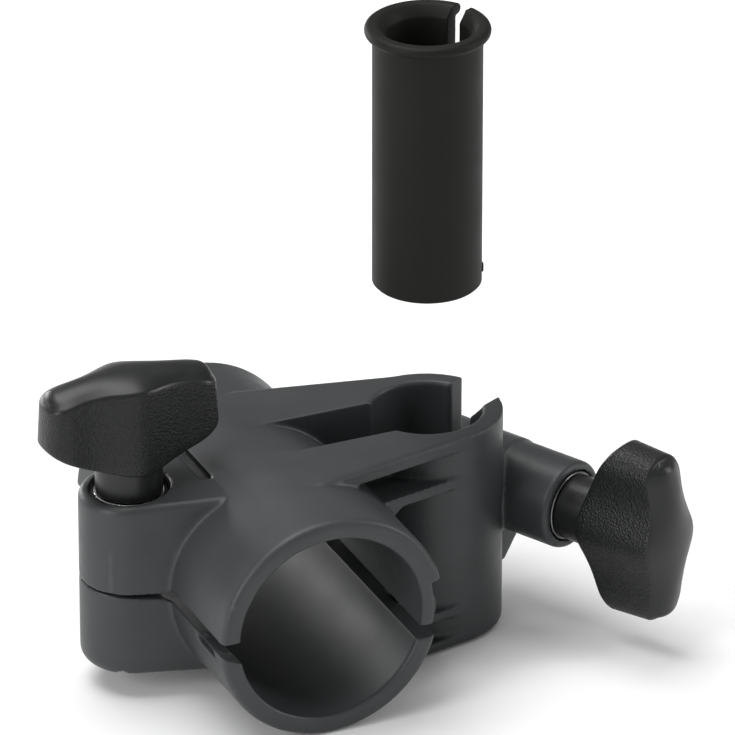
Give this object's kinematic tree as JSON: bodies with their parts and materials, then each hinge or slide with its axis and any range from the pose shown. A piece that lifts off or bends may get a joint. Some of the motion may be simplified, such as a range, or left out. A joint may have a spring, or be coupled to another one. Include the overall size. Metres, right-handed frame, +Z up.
{
  "type": "pipe clamp",
  "caption": "Right-angle pipe clamp with a hinged jaw for a rack pipe, a split socket for an upright post, wing knobs and a loose slit reducing sleeve.",
  "frame": {"origin": "centre of the pipe bore", "axes": "+Y along the pipe bore, +Z up along the post socket, +X from the pipe bore to the post socket"},
  "size_m": [0.1263, 0.0785, 0.1287],
  "materials": {
    "body_plastic": "satin moulded nylon, dark grey",
    "jaw_plastic": "satin moulded nylon, dark grey",
    "knob_plastic": "semi-gloss, fine leather grain, near black",
    "sleeve_plastic": "matte moulded plastic, near black",
    "zinc_steel": "bright zinc plate",
    "dark_steel": "dark plated steel"
  },
  "bodies": {
    "clamp_body": {"clamp_body": "body_plastic", "hinge_pin_front": "zinc_steel", "hinge_pin_rear": "zinc_steel", "pipe_washer": "zinc_steel", "post_nut": "zinc_steel"},
    "lower_jaw": {"lower_jaw": "jaw_plastic"},
    "pipe_knob": {"pipe_knob": "knob_plastic", "pipe_stud": "zinc_steel"},
    "pipe_barrel_nut": {"pipe_barrel_nut": "zinc_steel"},
    "post_washer": {"post_washer": "dark_steel"},
    "post_knob": {"post_knob": "knob_plastic", "post_stud": "zinc_steel"},
    "reducing_sleeve": {"reducing_sleeve": "sleeve_plastic"}
  },
  "joints": [
    {"name": "pipe_knob_turn", "type": "hinge", "parent": "clamp_body", "child": "pipe_knob", "pos_m": [-0.02665, 0, 0.0182], "axis": [0, 0, 1], "range_deg": [0, 1260]},
    {"name": "jaw_swing", "type": "hinge", "parent": "clamp_body", "child": "lower_jaw", "pos_m": [0.0245, 0, -0.007], "axis": [0, -1, 0], "range_deg": [0, 5]},
    {"name": "barrel_nut_travel", "type": "slide", "parent": "clamp_body", "child": "pipe_barrel_nut", "axis": [0, 0, -1], "range_m": [0, 0.0045]},
    {"name": "post_screw_travel", "type": "slide", "parent": "clamp_body", "child": "post_washer", "axis": [0.454, -0.891, 0], "range_m": [0, 0.0025]},
    {"name": "post_knob_turn", "type": "hinge", "parent": "post_washer", "child": "post_knob", "pos_m": [0.0514, 0.00749, 0.0023], "axis": [0.454, -0.891, 0], "range_deg": [0, 722]},
    {"name": "sleeve_slide", "type": "slide", "parent": "clamp_body", "child": "reducing_sleeve", "axis": [0, 0, 1], "range_m": [-0.0803, 0]}
  ],
  "couplings": [
    {"joint": "jaw_swing", "follows": "pipe_knob_turn", "ratio": 0.0038894},
    {"joint": "barrel_nut_travel", "follows": "pipe_knob_turn", "m_per_rad": 0.00019894},
    {"joint": "post_knob_turn", "follows": "post_screw_travel", "rad_per_m": 5026.5}
  ]
}
